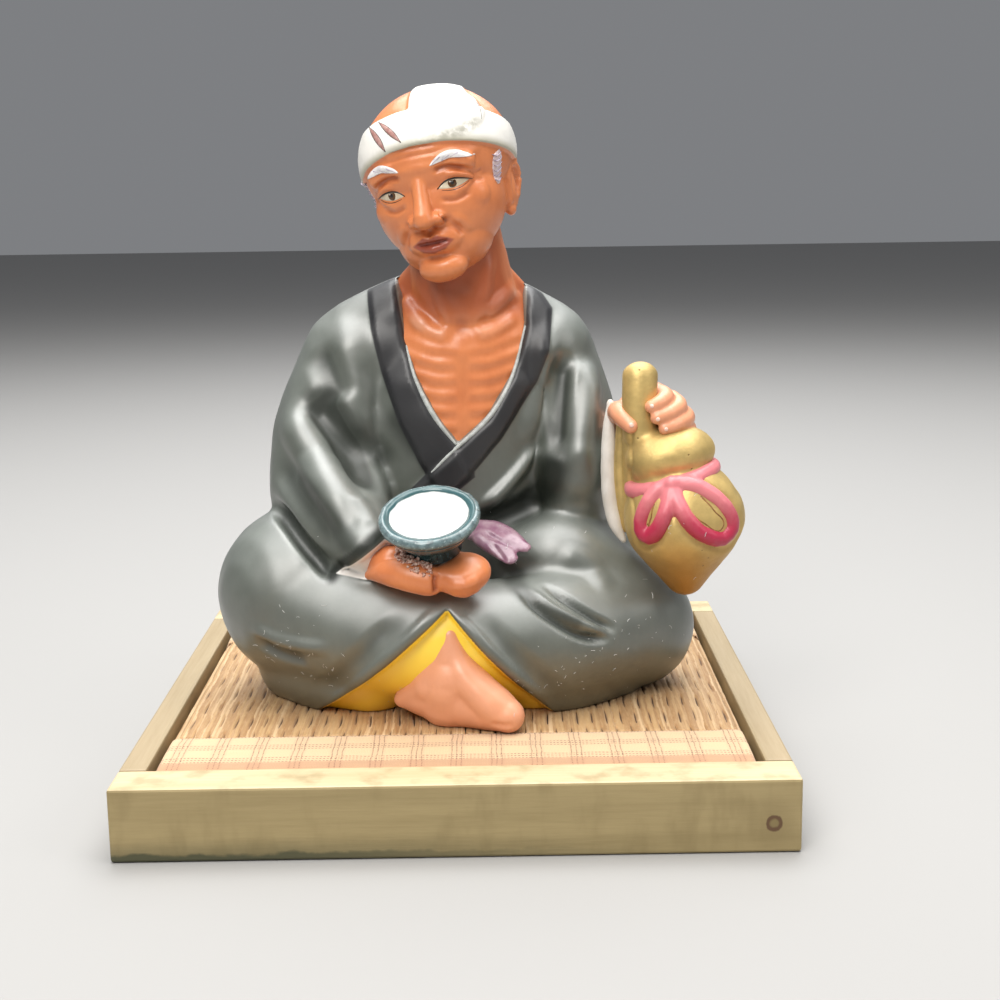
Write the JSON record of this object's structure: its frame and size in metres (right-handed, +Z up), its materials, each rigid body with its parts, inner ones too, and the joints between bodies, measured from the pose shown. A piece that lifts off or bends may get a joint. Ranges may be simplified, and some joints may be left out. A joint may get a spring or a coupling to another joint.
{
  "type": "painted clay figurine",
  "caption": "Hand-painted clay doll of a seated old man in a dark robe, holding a wine cup and a gilt gourd, on a tatami-topped wooden stand.",
  "frame": {"origin": "middle of the stand's underside, where it stands on a table", "axes": "+Z up, -Y towards the front that the figure faces, +X to the viewer's right from the front"},
  "size_m": [0.18, 0.18, 0.2006],
  "materials": {
    "painted_clay": "fired clay under semi-gloss hand-brushed paint: dark grey-green robe, warm orange skin, white headband, gold gourd",
    "teal_glaze": "dark teal glaze with a pale speckled rim and a white inside",
    "rush": "woven straw-coloured rush strands",
    "border_cloth": "fine brown and beige check",
    "pale_wood": "planed softwood with fine grain, one dark knot and a stain",
    "base_ply": "raw plywood"
  },
  "bodies": {
    "root": {"figure": "painted_clay", "cup": "teal_glaze", "mat": "rush", "mat_border_front": "border_cloth", "mat_border_back": "border_cloth", "rail_front": "pale_wood", "rail_back": "pale_wood", "rail_left": "pale_wood", "rail_right": "pale_wood", "base_board": "base_ply"}
  },
  "joints": []
}
